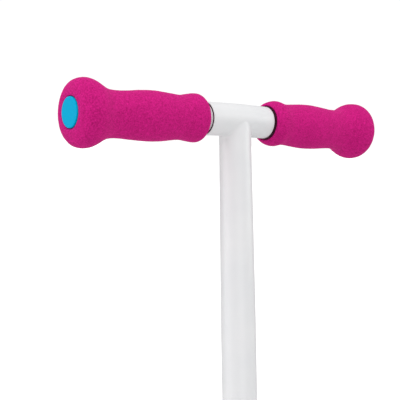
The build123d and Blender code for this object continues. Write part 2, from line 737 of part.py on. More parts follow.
parts["stem_tube"] = steering * stem_tube()
plug = rod_z(stem_r - stem_wall, stem_low, stem_low + stem_plug_len)
plug += rod_z(stem_r, stem_low - stem_plug_head, stem_low)
parts["stem_end_plug"] = steering * plug


def grip(gap):
    """A foam grip on the +X side: a flare at the mouth, a full palm and a bulb at the end."""
    mouth = sleeve_half + gap
    end = plug_face - plug_proud
    # share of the grip's length from the mouth, and thickness of the foam over the bar
    swell = [
        (0.018, 5.5), (0.063, 7.4), (0.117, 6.4), (0.164, 5.5), (0.24, 6.0), (0.336, 7.0), (0.432, 7.2),
        (0.541, 6.5), (0.659, 5.5), (0.753, 6.2), (0.805, 8.8), (0.853, 11.3), (0.91, 12.6),
        (0.955, 11.6), (0.984, 8.8), (0.998, 4.4),
    ]
    crown = [(mouth + share * (end - mouth), bar_r + foam) for share, foam in swell]
    outline = Spline(*crown) + Line((mouth, bar_r + mouth_ease), crown[0]) + Line(crown[-1], (end, plug_r))
    outline += Polyline((end, plug_r), (bar_half, plug_r), (bar_half, bar_r), (mouth + mouth_depth, bar_r))
    outline += Line((mouth + mouth_depth, bar_r), (mouth, bar_r + mouth_ease))
    return revolve(make_face(outline.edges()), Axis.X)


def end_plug():
    """A plastic plug pushed into the end of the tube, its face just proud of the foam."""
    face = rod_x(plug_r, bar_half, plug_face)
    face = fillet([face.edges().sort_by(Axis.X)[-1]], plug_round)
    return face + rod_x(bar_r - bar_wall, bar_half - plug_shank, bar_half)


plug_solid = end_plug()
ring_solid = ring_x(ring_r, bar_r, sleeve_half - ring_w, sleeve_half)
for name, place, gap in (("left", left_half, left_grip_gap), ("right", right_half, right_grip_gap)):
    for piece, solid in (("grip", grip(gap)), ("end_plug", plug_solid), ("bar_ring", ring_solid)):
        shape = solid if name == "left" else mirror(solid, Plane.YZ)
        parts[f"{name}_{piece}"] = place * shape

# ---- write ----
os.makedirs("parts", exist_ok=True)
for name, shape in parts.items():
    if isinstance(shape, list):
        solids = [s for piece in shape for s in piece.solids()]
        shape = Compound(children=solids)
    export_step(shape, f"parts/{name}.step")
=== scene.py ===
import json
import math

import bpy
from mathutils import Matrix, Vector


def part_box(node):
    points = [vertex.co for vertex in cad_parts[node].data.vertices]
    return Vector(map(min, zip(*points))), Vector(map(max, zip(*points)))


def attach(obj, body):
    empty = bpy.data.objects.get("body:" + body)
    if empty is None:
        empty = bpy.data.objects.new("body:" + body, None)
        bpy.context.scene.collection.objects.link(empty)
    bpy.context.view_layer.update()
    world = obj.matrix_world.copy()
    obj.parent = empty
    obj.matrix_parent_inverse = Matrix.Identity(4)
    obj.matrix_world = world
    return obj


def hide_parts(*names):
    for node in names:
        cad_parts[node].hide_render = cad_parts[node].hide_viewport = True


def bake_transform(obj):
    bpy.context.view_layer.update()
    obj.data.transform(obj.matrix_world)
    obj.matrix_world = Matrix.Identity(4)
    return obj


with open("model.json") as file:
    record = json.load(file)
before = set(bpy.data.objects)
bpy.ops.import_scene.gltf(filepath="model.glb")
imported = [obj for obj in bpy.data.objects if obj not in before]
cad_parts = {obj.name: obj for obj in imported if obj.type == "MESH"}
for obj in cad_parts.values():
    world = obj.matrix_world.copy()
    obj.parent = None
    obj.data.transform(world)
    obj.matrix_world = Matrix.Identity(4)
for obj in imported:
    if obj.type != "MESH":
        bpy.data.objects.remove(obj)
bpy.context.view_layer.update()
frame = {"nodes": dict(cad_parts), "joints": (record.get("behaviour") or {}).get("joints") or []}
nodes = frame["nodes"]
joints = {joint["name"]: joint for joint in frame["joints"]}
MM = 0.001

# ---- Studio ----
# The camera stands ahead of the scooter on the rider's right, level with the handlebar, and looks
# back across it. Its place is measured from the middle of the handlebar, in the steering's leaning axes.
lean = Vector(joints["steering_turn"]["axis"])
rake = math.atan2(lean.y, lean.z)
leaning = Matrix.Rotation(-rake, 3, "X")
sleeve_low, sleeve_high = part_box("tee_sleeve")
sleeve_r = 12.7 * MM
tee_at = Vector((0, (sleeve_low.y + sleeve_high.y) / 2, sleeve_high.z - sleeve_r))

camera_from_tee = Vector((-396.1, -459.3, -67.0)) * MM
camera_turn = math.radians(-38.12)
camera_lift = math.radians(0.497)
camera_roll = math.radians(-1.002)
forward = Vector((
    -math.sin(camera_turn) * math.cos(camera_lift),
    math.cos(camera_turn) * math.cos(camera_lift),
    math.sin(camera_lift),
))
right = Vector((math.cos(camera_turn), math.sin(camera_turn), 0))
up = right.cross(forward)
across = right * math.cos(camera_roll) + up * math.sin(camera_roll)
upward = up * math.cos(camera_roll) - right * math.sin(camera_roll)
camera_data = bpy.data.cameras.new("camera")
camera_data.sensor_width = 36
camera_data.lens = 70.2
camera = bpy.data.objects.new("camera", camera_data)
bpy.context.scene.collection.objects.link(camera)
turned = leaning @ Matrix((across, upward, -forward)).transposed()
camera.matrix_world = Matrix.Translation(tee_at + leaning @ camera_from_tee) @ turned.to_4x4()
bpy.context.scene.camera = camera
bpy.context.scene.view_settings.view_transform = "Standard"


def linear(code):
    """An sRGB hex colour as linear red, green, blue and alpha."""
    parts = [int(code[i : i + 2], 16) / 255 for i in (1, 3, 5)]
    return [c / 12.92 if c <= 0.04045 else ((c + 0.055) / 1.055) ** 2.4 for c in parts] + [1.0]


def add_node(tree, kind, inputs=None, **settings):
    """Adds one shader node. inputs gives each socket a value, or another node's output to link."""
    made = tree.nodes.new(kind)
    for key, value in settings.items():
        setattr(made, key, value)
    for key, value in (inputs or {}).items():
        if isinstance(value, bpy.types.NodeSocket):
            tree.links.new(value, made.inputs[key])
        else:
            made.inputs[key].default_value = value
    return made


# The room is white paper all round. It lights softly, and shows as plain white behind the scooter.
world = bpy.data.worlds.new("studio")
world.use_nodes = True
bpy.context.scene.world = world
tree = world.node_tree
tree.nodes.clear()
seen = add_node(tree, "ShaderNodeLightPath")
room = add_node(tree, "ShaderNodeBackground", {"Color": (1, 1, 1, 1), "Strength": 0.59})
paper = add_node(tree, "ShaderNodeBackground", {"Color": (1, 1, 1, 1), "Strength": 1.05})
blend = {0: seen.outputs["Is Camera Ray"], 1: room.outputs[0], 2: paper.outputs[0]}
both = add_node(tree, "ShaderNodeMixShader", blend)
add_node(tree, "ShaderNodeOutputWorld", {"Surface": both.outputs[0]})


def softbox(name, place, target, size, watts):
    """A square soft light at a place, turned to face a target."""
    data = bpy.data.lights.new(name, "AREA")
    data.energy = watts
    data.size = size
    lamp = bpy.data.objects.new(name, data)
    bpy.context.scene.collection.objects.link(lamp)
    lamp.location = place
    lamp.rotation_euler = (Vector(target) - Vector(place)).to_track_quat("-Z", "Y").to_euler()


softbox("top_light", tee_at + Vector((-0.5, -0.3, 1.5)), tee_at, 1.5, 16.5)
softbox("side_light", tee_at + Vector((1.6, -0.9, 0.5)), tee_at, 1.0, 6.5)
softbox("left_light", tee_at + Vector((-1.25, 0.6, 0.0)), tee_at, 1.2, 6)
softbox("low_light", (-0.5, -1.8, 0.25), (0, -0.1, 0.3), 1.2, 6)

bpy.ops.object.select_all(action="DESELECT")
bpy.ops.mesh.primitive_plane_add(size=60, location=(0, 0, 0))
floor = bpy.context.object
floor.name = "floor"
pale = bpy.data.materials.new("white_paper")
pale.use_nodes = True
tree = pale.node_tree
tree.nodes.clear()
seen = add_node(tree, "ShaderNodeLightPath")
sheet = add_node(tree, "ShaderNodeBsdfDiffuse", {"Color": linear("#E8E8E8")})
glow = add_node(tree, "ShaderNodeEmission", {"Color": (1, 1, 1, 1), "Strength": 0.8})
lit = add_node(tree, "ShaderNodeAddShader", {0: sheet.outputs[0], 1: glow.outputs[0]})
blend = {0: seen.outputs["Is Camera Ray"], 1: sheet.outputs[0], 2: lit.outputs[0]}
both = add_node(tree, "ShaderNodeMixShader", blend)
add_node(tree, "ShaderNodeOutputMaterial", {"Surface": both.outputs[0]})
floor.data.materials.append(pale)


# ---- Welded frame ----
# Steel tubes and plates, welded together and powder coated white: the spine under the deck, the
# bent neck with its gusset, the head tube with the steering stop, and the sleeve for the rear axle.
def start_material(name, **sockets):
    """A new material with one Principled shader, whose plain sockets are set by name."""
    made = bpy.data.materials.new(name)
    made.use_nodes = True
    shader = made.node_tree.nodes["Principled BSDF"]
    for key, value in sockets.items():
        shader.inputs[key.replace("_", " ")].default_value = value
    return made, made.node_tree, shader


def give(material, *names):
    """Gives CAD nodes, or pieces made here, one material in place of what they had."""
    for name in names:
        piece = nodes[name] if isinstance(name, str) else name
        piece.data.materials.clear()
        piece.data.materials.append(material)


def powder_coat(name, edge_round):
    """Baked polyester powder: a soft gloss with the faint waves of orange peel, 1.6 mm apart."""
    made, tree, shader = start_material(name, Roughness=0.34, Coat_Weight=0.12, Coat_Roughness=0.2)
    place = add_node(tree, "ShaderNodeTexCoord").outputs["Object"]
    peel = add_node(tree, "ShaderNodeTexNoise", {"Vector": place, "Scale": 1 / (1.6 * MM), "Detail": 2.0})
    cloud = add_node(tree, "ShaderNodeTexNoise", {"Vector": place, "Scale": 1 / (35 * MM), "Detail": 3.0})
    tint = add_node(tree, "ShaderNodeValToRGB", {"Fac": cloud.outputs["Fac"]})
    tint.color_ramp.elements[0].position = 0.3
    tint.color_ramp.elements[0].color = linear("#DFE0E2")
    tint.color_ramp.elements[1].position = 0.7
    tint.color_ramp.elements[1].color = linear("#E6E6E7")
    gloss = add_node(
        tree, "ShaderNodeMapRange", {"Value": cloud.outputs["Fac"], "To Min": 0.3, "To Max": 0.4}
    )
    relief = {"Height": peel.outputs["Fac"], "Strength": 0.2, "Distance": 0.03 * MM}
    if edge_round:
        rounded = add_node(tree, "ShaderNodeBevel", {"Radius": edge_round * MM}, samples=6)
        relief["Normal"] = rounded.outputs["Normal"]
    bump = add_node(tree, "ShaderNodeBump", relief)
    tree.links.new(tint.outputs["Color"], shader.inputs["Base Color"])
    tree.links.new(gloss.outputs["Result"], shader.inputs["Roughness"])
    tree.links.new(bump.outputs["Normal"], shader.inputs["Normal"])
    return made


powder = powder_coat("white_powder_coat", 0.8)
give(powder, "spine_tube", "neck_tube", "neck_gusset", "head_tube", "steering_stop_ring")
give(powder, "rear_axle_sleeve")


def weld_ring(name, tube_r, bead_r, onto_r, matrix):
    """A rippled weld bead round a tube along Y. It follows a round tube along Z, if onto_r gives one."""
    bpy.ops.object.select_all(action="DESELECT")
    bpy.ops.mesh.primitive_torus_add(
        major_radius=tube_r * MM, minor_radius=bead_r * MM, major_segments=144, minor_segments=12,
        rotation=(math.pi / 2, 0, 0),
    )
    made = bpy.context.object
    made.name = name
    bpy.ops.object.transform_apply(location=True, rotation=True, scale=True)
    for corner in made.data.vertices:
        turn = math.atan2(corner.co.z, corner.co.x)
        ripple = 1 + 0.14 * abs(math.sin(18 * turn))
        ring = Vector((math.cos(turn), 0, math.sin(turn))) * tube_r * MM
        corner.co = ring + (corner.co - ring) * ripple
        if onto_r:
            corner.co.y += math.sqrt((onto_r * MM) ** 2 - min(abs(corner.co.x), tube_r * MM) ** 2)
    bpy.ops.object.shade_smooth()
    made.data.transform(matrix)
    give(powder, made)
    return made


# Gas-welded beads run round both ends of the neck. The powder coat covers them.
front_axle = Matrix.Translation(Vector(joints["front_wheel_spin"]["pos_m"])) @ leaning.to_4x4()
neck_above_axle = 131.55
neck_join = front_axle @ Matrix.Translation((0, 0, neck_above_axle * MM))
neck_r, head_r, weld_r = 14.3, 21.55, 1.7
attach(weld_ring("neck_head_weld", neck_r + 0.5, weld_r, head_r, neck_join), "frame")
spine_low, spine_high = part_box("spine_tube")
neck_from_end = 16
foot_at = Vector((0, spine_low.y + neck_from_end * MM, spine_high.z))
neck_foot = Matrix.Translation(foot_at) @ Matrix.Rotation(math.pi / 2, 4, "X")
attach(weld_ring("neck_foot_weld", neck_r + 0.7, weld_r, 0, neck_foot), "frame")

# The spine's front end is shut by a pushed-in nylon cap, and nylon bushes line the head tube.
# Glass-filled nylon: nearly black, with the fine grain of a sparked mould, about 0.4 mm.
nylon, tree, shader = start_material("black_nylon", Roughness=0.5, IOR=1.53)
place = add_node(tree, "ShaderNodeTexCoord").outputs["Object"]
grain = add_node(tree, "ShaderNodeTexNoise", {"Vector": place, "Scale": 1 / (0.4 * MM), "Detail": 3.0})
shade = add_node(tree, "ShaderNodeValToRGB", {"Fac": grain.outputs["Fac"]})
shade.color_ramp.elements[0].color = linear("#1D1719")
shade.color_ramp.elements[1].color = linear("#352A30")
bump = add_node(
    tree, "ShaderNodeBump", {"Height": grain.outputs["Fac"], "Strength": 0.35, "Distance": 0.04 * MM}
)
tree.links.new(shade.outputs["Color"], shader.inputs["Base Color"])
tree.links.new(bump.outputs["Normal"], shader.inputs["Normal"])
give(nylon, "spine_end_cap", "lower_headset_bush", "upper_headset_bush")

# ---- Rear axle ----
# An 8 mm steel rod through the sleeve, with spacers, washers and nuts, all bright zinc plated.
# Zinc plate on turned steel: fine lathe lines across the axle, 0.3 mm apart, under a cloudy sheen.
zinc, tree, shader = start_material("zinc_steel", Metallic=1.0)
place = add_node(tree, "ShaderNodeTexCoord").outputs["Object"]
stretch = add_node(tree, "ShaderNodeMapping", {"Vector": place, "Scale": (1.0, 0.06, 0.06)})
lines = add_node(
    tree, "ShaderNodeTexNoise", {"Vector": stretch.outputs[0], "Scale": 1 / (0.3 * MM), "Detail": 2.0}
)
cloud = add_node(tree, "ShaderNodeTexNoise", {"Vector": place, "Scale": 1 / (4 * MM), "Detail": 3.0})
shade = add_node(tree, "ShaderNodeValToRGB", {"Fac": cloud.outputs["Fac"]})
shade.color_ramp.elements[0].color = linear("#A9ADB2")
shade.color_ramp.elements[1].color = linear("#D3D5D6")
gloss = add_node(tree, "ShaderNodeMapRange", {"Value": lines.outputs["Fac"], "To Min": 0.22, "To Max": 0.42})
bump = add_node(
    tree, "ShaderNodeBump", {"Height": lines.outputs["Fac"], "Strength": 0.2, "Distance": 0.02 * MM}
)
tree.links.new(shade.outputs["Color"], shader.inputs["Base Color"])
tree.links.new(gloss.outputs["Result"], shader.inputs["Roughness"])
tree.links.new(bump.outputs["Normal"], shader.inputs["Normal"])
give(zinc, "rear_axle_rod", "rear_axle_spacers", "rear_axle_washers", "rear_axle_nuts")


# ---- Handlebar ----
# A short sleeve with the stem welded under it, round the straight bar that carries the grips. All
# three are steel and powder coated together, so they show one unbroken skin.
tube_powder = powder_coat("white_powder_coat_tube", 0)
give(tube_powder, "tee_sleeve", "crossbar", "stem_tube")
give(nylon, "stem_end_plug")

# A thin ring of soft nylon fills each end of the sleeve round the bar. It is a very dark plum colour, and
# this is partly painted shade: the near-black plum also stands for the shadow in the gap at the sleeve's end,
# tinted by the magenta foam.
plum_and_painted_shade, tree, shader = start_material("plum_nylon_and_painted_shade", Roughness=0.6)
shader.inputs["Specular IOR Level"].default_value = 0.15
place = add_node(tree, "ShaderNodeTexCoord").outputs["Object"]
grain = add_node(tree, "ShaderNodeTexNoise", {"Vector": place, "Scale": 1 / (0.4 * MM), "Detail": 2.0})
shade = add_node(tree, "ShaderNodeValToRGB", {"Fac": grain.outputs["Fac"]})
shade.color_ramp.elements[0].color = linear("#300A1E")
shade.color_ramp.elements[1].color = linear("#4C1230")
tree.links.new(shade.outputs["Color"], shader.inputs["Base Color"])
give(plum_and_painted_shade, "left_bar_ring", "right_bar_ring")


# ---- Foam grips ----
# Two alike grips of closed-cell foam, ground to a flare, a palm and a big end bulb, and blown onto
# the bar. The foam closes over the bar's end round the plug.
def lathe(name, profile, around):
    """A circle drawn out along X ring by ring. profile gives each ring's place and radius in mm."""
    place, radius = profile[0]
    bpy.ops.object.select_all(action="DESELECT")
    bpy.ops.mesh.primitive_circle_add(
        vertices=around, radius=radius * MM, location=(place * MM, 0, 0), rotation=(0, math.pi / 2, 0)
    )
    made = bpy.context.object
    made.name = name
    bpy.ops.object.transform_apply(location=True, rotation=True, scale=True)
    bpy.ops.object.mode_set(mode="EDIT")
    bpy.ops.mesh.select_all(action="SELECT")
    for next_place, next_radius in profile[1:]:
        step = (next_place - place) * MM
        bpy.ops.mesh.extrude_region_move(TRANSFORM_OT_translate={"value": (step, 0, 0)})
        if next_radius != radius:
            share = next_radius / radius
            bpy.ops.transform.resize(value=(1, share, share), center_override=(next_place * MM, 0, 0))
        place, radius = next_place, next_radius
    bpy.ops.mesh.select_all(action="SELECT")
    bpy.ops.mesh.remove_doubles(threshold=0.01 * MM)
    bpy.ops.mesh.normals_make_consistent(inside=False)
    bpy.ops.object.mode_set(mode="OBJECT")
    bpy.ops.object.shade_smooth()
    return made


def modify(piece, kind, **settings):
    """Adds a modifier and applies it."""
    bpy.context.view_layer.objects.active = piece
    made = piece.modifiers.new(kind.lower(), kind)
    for key, value in settings.items():
        setattr(made, key, value)
    bpy.ops.object.modifier_apply(modifier=made.name)


bar_r = 11.1
grip_end = 144.5
bar_half = 139.5
waves = bpy.data.textures.new("hand_ground", "CLOUDS")
waves.noise_scale = 11 * MM
pores = bpy.data.textures.new("pores", "CLOUDS")
pores.noise_scale = 0.8 * MM
pores.noise_depth = 1


def foam_grip(name, mouth, flare):
    """One grip along +X. Its flare is fullest flare mm from the mouth, where the foam stands off the bar."""
    # share of the flare from the mouth, and thickness of the foam over the bar in mm
    rise = [(0.0, 3.4), (0.1, 4.6), (0.29, 5.8), (0.6, 6.9), (1.0, 7.45)]
    # share of the grip's length from the mouth, and thickness of the foam
    swell = [
        (0.122, 6.4), (0.155, 5.6), (0.19, 5.5), (0.24, 5.95), (0.295, 6.6), (0.35, 7.1), (0.413, 7.3),
        (0.477, 7.1), (0.541, 6.5), (0.604, 5.9), (0.66, 5.5), (0.705, 5.6), (0.753, 6.3), (0.791, 8.1),
        (0.828, 10.5), (0.869, 12.5), (0.91, 13.1), (0.947, 12.5), (0.974, 10.6), (0.992, 7.2), (1.0, 3.7),
        (1.0, 0.4), (0.99, -0.1), (0.96, -0.1), (0.954, 0.05), (0.6, 0.05), (0.2, 0.05), (0.05, 0.1),
        (0.025, 1.4), (0.004, 2.8),
    ]
    profile = [(mouth + share * flare, bar_r + foam) for share, foam in rise]
    profile += [(mouth + share * (grip_end - mouth), bar_r + foam) for share, foam in swell]
    made = lathe(name, profile + profile[:1], 32)
    modify(made, "SUBSURF", levels=3, render_levels=3)
    modify(made, "DISPLACE", texture=waves, texture_coords="LOCAL", strength=0.35 * MM, mid_level=0.5)
    modify(made, "DISPLACE", texture=pores, texture_coords="LOCAL", strength=0.22 * MM, mid_level=0.5)
    return made


# Closed-cell foam: matt and slightly fuzzy. Its ground skin is a fine net of cell walls, about
# 1 mm across, with lighter walls and darker open pores.
foam, tree, shader = start_material("magenta_foam", Roughness=0.92)
shader.inputs["Specular IOR Level"].default_value = 0.12
shader.inputs["Sheen Weight"].default_value = 0.34
shader.inputs["Sheen Roughness"].default_value = 0.3
shader.inputs["Sheen Tint"].default_value = linear("#FF5FB4")
place = add_node(tree, "ShaderNodeTexCoord").outputs["Object"]
cells = add_node(tree, "ShaderNodeTexVoronoi", {"Vector": place, "Scale": 1 / (1.2 * MM), "Randomness": 1.0})
mesh_of_walls = {"Vector": place, "Scale": 1 / (1.1 * MM), "Detail": 4.0, "Roughness": 0.6}
walls = add_node(tree, "ShaderNodeTexNoise", mesh_of_walls)
cloud = add_node(tree, "ShaderNodeTexNoise", {"Vector": place, "Scale": 1 / (7 * MM), "Detail": 4.0})
pore = add_node(tree, "ShaderNodeMath", {0: cells.outputs["Distance"], 1: 0.22}, operation="MULTIPLY")
skin = add_node(tree, "ShaderNodeMath", {0: pore.outputs[0], 1: walls.outputs["Fac"]}, operation="ADD")
shade = add_node(tree, "ShaderNodeValToRGB", {"Fac": skin.outputs[0]})
shade.color_ramp.elements[0].position = 0.4
shade.color_ramp.elements[0].color = linear("#A40B60")
shade.color_ramp.elements[1].position = 0.82
shade.color_ramp.elements[1].color = linear("#D61F86")
tone = add_node(tree, "ShaderNodeMapRange", {"Value": cloud.outputs["Fac"], "To Min": 0.94, "To Max": 1.12})
toned = {"Color": shade.outputs["Color"], "Value": tone.outputs["Result"]}
colour = add_node(tree, "ShaderNodeHueSaturation", toned)
bump = add_node(tree, "ShaderNodeBump", {"Height": skin.outputs[0], "Strength": 0.6, "Distance": 0.3 * MM})
tree.links.new(colour.outputs["Color"], shader.inputs["Base Color"])
tree.links.new(bump.outputs["Normal"], shader.inputs["Normal"])

# Each half of the bar leans down by 1.1 degrees where the weld drew it.
droop = math.radians(1.1)
middle = Matrix.Translation(tee_at) @ leaning.to_4x4()
sides = {
    "left": middle @ Matrix.Rotation(droop, 4, "Y"),
    "right": middle @ Matrix.Rotation(-droop, 4, "Y") @ Matrix.Rotation(math.pi, 4, "Z"),
}

# How far each grip's mouth stands from the middle of the bar, and how long its flare is, in mm.
mouths = {"left": (31.8, 9.8), "right": (35.4, 5.0)}
for side, (mouth, flare) in mouths.items():
    piece = foam_grip(side + "_foam_grip", mouth, flare)
    piece.data.transform(sides[side])
    give(foam, piece)
    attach(piece, "handlebar")
    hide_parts(side + "_grip")

# A dark plum ring round the bar, set back just inside each grip's mouth, is painted shade: it stands for the
# shadow in the foam's recess at the mouth.
shade_ring_set_back = 0.3
shade_ring_profile = [
    (0.0, 11.0), (-0.15, 11.9), (0.0, 12.8), (0.35, 13.3), (1.4, 13.1), (2.0, 12.2), (2.2, 11.0), (0.0, 11.0),
]
for side, (mouth, _) in mouths.items():
    placed = [(mouth + shade_ring_set_back + along, radius) for along, radius in shade_ring_profile]
    piece = lathe(side + "_mouth_painted_shade", placed, 64)
    piece.data.transform(sides[side])
    give(plum_and_painted_shade, piece)
    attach(piece, "handlebar")

# ---- End plugs ----
# Moulded polypropylene plugs, pushed into the bar's ends. The head stands a little proud of the
# foam, with a rounded rim.
plug_r = 10.6
# a ring small enough to be merged into one point, which closes the plug's two ends
pole_r = 0.004
plug_profile = [
    (120, pole_r), (120, 8.6), (121, 9.5), (bar_half, 9.6), (bar_half, plug_r), (144.3, plug_r),
    (144.75, plug_r - 0.12), (144.95, plug_r - 0.45), (145.0, plug_r - 0.9), (144.98, 8.9), (144.95, pole_r),
]
plug = lathe("plug_master", plug_profile, 96)
# Moulded polypropylene: a flat bright cyan all through, satin, with a very faint mould grain.
cyan, tree, shader = start_material("cyan_plastic", Roughness=0.32, IOR=1.49)
edge = add_node(tree, "ShaderNodeBevel", {"Radius": 0.8 * MM}, samples=6).outputs["Normal"]
shader.inputs["Specular IOR Level"].default_value = 0.03
place = add_node(tree, "ShaderNodeTexCoord").outputs["Object"]
grain = add_node(tree, "ShaderNodeTexNoise", {"Vector": place, "Scale": 1 / (0.5 * MM), "Detail": 2.0})
shade = add_node(tree, "ShaderNodeValToRGB", {"Fac": grain.outputs["Fac"]})
shade.color_ramp.elements[0].color = linear("#00A2CC")
shade.color_ramp.elements[1].color = linear("#00ACD8")
gloss = add_node(tree, "ShaderNodeMapRange", {"Value": grain.outputs["Fac"], "To Min": 0.28, "To Max": 0.42})
relief = {"Height": grain.outputs["Fac"], "Strength": 0.15, "Distance": 0.02 * MM, "Normal": edge}
bump = add_node(tree, "ShaderNodeBump", relief)
tree.links.new(shade.outputs["Color"], shader.inputs["Base Color"])
tree.links.new(gloss.outputs["Result"], shader.inputs["Roughness"])
tree.links.new(bump.outputs["Normal"], shader.inputs["Normal"])


def put(master, name, matrix):
    """A copy of a master piece with its own mesh, its place held in the mesh."""
    made = master.copy()
    made.data = master.data.copy()
    made.name = name
    bpy.context.scene.collection.objects.link(made)
    made.data.transform(matrix)
    return made


for side, matrix in sides.items():
    piece = put(plug, side + "_plug", matrix)
    give(cyan, piece)
    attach(piece, "handlebar")
    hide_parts(side + "_end_plug")
bpy.data.objects.remove(plug)

# ---- Steering stop, fork and steerer ----
# The fork is a steel strap bent over the wheel, with the steerer tube welded through it. A zinc
# plated thrust washer runs under the head tube and another above it.
give(powder, "fork", "steerer_tube")
give(zinc, "thrust_washer", "top_washer")

# ---- Height clamp ----
# A split collar of cast aluminium, tumbled until it is softly bright, squeezes the slit steerer on
# the stem. Its lever is moulded in glass-filled nylon and turns on a zinc plated pin.
# Tumbled aluminium: a cloudy satin metal with a fine peened grain.
alloy, tree, shader = start_material("tumbled_aluminium", Metallic=1.0)
place = add_node(tree, "ShaderNodeTexCoord").outputs["Object"]
grain = add_node(tree, "ShaderNodeTexNoise", {"Vector": place, "Scale": 1 / (0.5 * MM), "Detail": 3.0})
cloud = add_node(tree, "ShaderNodeTexNoise", {"Vector": place, "Scale": 1 / (6 * MM), "Detail": 2.0})
shade = add_node(tree, "ShaderNodeValToRGB", {"Fac": cloud.outputs["Fac"]})
shade.color_ramp.elements[0].color = linear("#BFC1C4")
shade.color_ramp.elements[1].color = linear("#D8D9DA")
gloss = add_node(tree, "ShaderNodeMapRange", {"Value": grain.outputs["Fac"], "To Min": 0.3, "To Max": 0.5})
bump = add_node(
    tree, "ShaderNodeBump", {"Height": grain.outputs["Fac"], "Strength": 0.3, "Distance": 0.03 * MM}
)
tree.links.new(shade.outputs["Color"], shader.inputs["Base Color"])
tree.links.new(gloss.outputs["Result"], shader.inputs["Roughness"])
tree.links.new(bump.outputs["Normal"], shader.inputs["Normal"])
give(alloy, "clamp_collar")
give(nylon, "clamp_lever")
give(zinc, "clamp_bolt", "clamp_nut", "lever_pin")

# ---- Wheels ----
# Three alike wheels in two sizes: a foamed rubber tyre with cut grooves round it, on a moulded hub
# with five spokes and two shielded ball bearings.
# Foamed rubber: nearly black, matt and dusty, with a fine skin 0.6 mm in grain.
rubber, tree, shader = start_material("tyre_rubber", Roughness=0.82)
shader.inputs["Specular IOR Level"].default_value = 0.3
place = add_node(tree, "ShaderNodeTexCoord").outputs["Object"]
grain = add_node(tree, "ShaderNodeTexNoise", {"Vector": place, "Scale": 1 / (0.6 * MM), "Detail": 4.0})
cloud = add_node(tree, "ShaderNodeTexNoise", {"Vector": place, "Scale": 1 / (14 * MM), "Detail": 4.0})
shade = add_node(tree, "ShaderNodeValToRGB", {"Fac": cloud.outputs["Fac"]})
shade.color_ramp.elements[0].position = 0.3
shade.color_ramp.elements[0].color = linear("#2C2C2E")
shade.color_ramp.elements[1].position = 0.75
shade.color_ramp.elements[1].color = linear("#3C3C3F")
bump = add_node(
    tree, "ShaderNodeBump", {"Height": grain.outputs["Fac"], "Strength": 0.4, "Distance": 0.08 * MM}
)
tree.links.new(shade.outputs["Color"], shader.inputs["Base Color"])
tree.links.new(bump.outputs["Normal"], shader.inputs["Normal"])

rear_left_axle = Matrix.Translation(Vector(joints["rear_left_wheel_spin"]["pos_m"]))
rear_right_axle = Matrix.Translation(Vector(joints["rear_right_wheel_spin"]["pos_m"]))


def tyre(name, wheel_r, rim_r, half, around):
    """A tyre on the X axis: flat walls, round shoulders, and three grooves cut round the tread."""
    shoulder = 8.0
    inner = wheel_r - shoulder
    crown = half - shoulder
    profile = [(-half + 0.6, rim_r), (-half, rim_r + 0.7), (-half, inner - 2.4), (-half - 0.35, inner - 2.0),
               (-half - 0.35, inner - 1.2), (-half, inner - 0.8), (-half, inner)]
    for step in range(1, 9):
        turn = math.pi / 2 * step / 8
        profile.append((-crown - shoulder * math.cos(turn), inner + shoulder * math.sin(turn)))
    wall_and_shoulder = list(profile)
    # the outer grooves keep to the flat of the crown
    for groove in (-0.7 * crown, 0.0, 0.7 * crown):
        profile += [(groove - 0.9, wheel_r), (groove - 0.65, wheel_r - 0.9), (groove + 0.65, wheel_r - 0.9),
                    (groove + 0.9, wheel_r)]
    mirrored = [(-place, radius) for place, radius in reversed(wall_and_shoulder)]
    # the bore is seated on the rim, with a channel for the rim's rib
    bore = [(4, rim_r), (4, rim_r + 3), (-4, rim_r + 3), (-4, rim_r), profile[0]]
    made = lathe(name, profile + mirrored + bore, around)
    bpy.ops.object.shade_smooth_by_angle(angle=math.radians(35))
    return made


# side, body, axle, wheel and rim radius, half width in mm, and corners round the wheel
tyres = (
    ("front", "front_wheel", front_axle, 75.0, 55.0, 14.0, 160),
    ("rear_left", "rear_left_wheel", rear_left_axle, 55.0, 38.0, 12.0, 128),
    ("rear_right", "rear_right_wheel", rear_right_axle, 55.0, 38.0, 12.0, 128),
)
for side, body, axle, wheel_r, rim_r, half, around in tyres:
    piece = tyre(side + "_foam_tyre", wheel_r, rim_r, half, around)
    piece.data.transform(axle)
    give(rubber, piece)
    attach(piece, body)
    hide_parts(side + "_tyre")
give(cyan, "front_hub", "rear_left_hub", "rear_right_hub")

# Ground bearing steel: bright, with fine turned lines.
steel, tree, shader = start_material("bearing_steel", Metallic=1.0)
place = add_node(tree, "ShaderNodeTexCoord").outputs["Object"]
grain = add_node(tree, "ShaderNodeTexNoise", {"Vector": place, "Scale": 1 / (0.35 * MM), "Detail": 2.0})
gloss = add_node(tree, "ShaderNodeMapRange", {"Value": grain.outputs["Fac"], "To Min": 0.12, "To Max": 0.28})
shader.inputs["Base Color"].default_value = linear("#C9CBCE")
tree.links.new(gloss.outputs["Result"], shader.inputs["Roughness"])
give(steel, "front_bearings", "rear_left_bearings", "rear_right_bearings")
give(zinc, "front_bearing_spacer", "rear_left_bearing_spacer", "rear_right_bearing_spacer")
give(zinc, "front_axle_bolt", "front_axle_nut", "front_axle_washers", "front_axle_spacers")

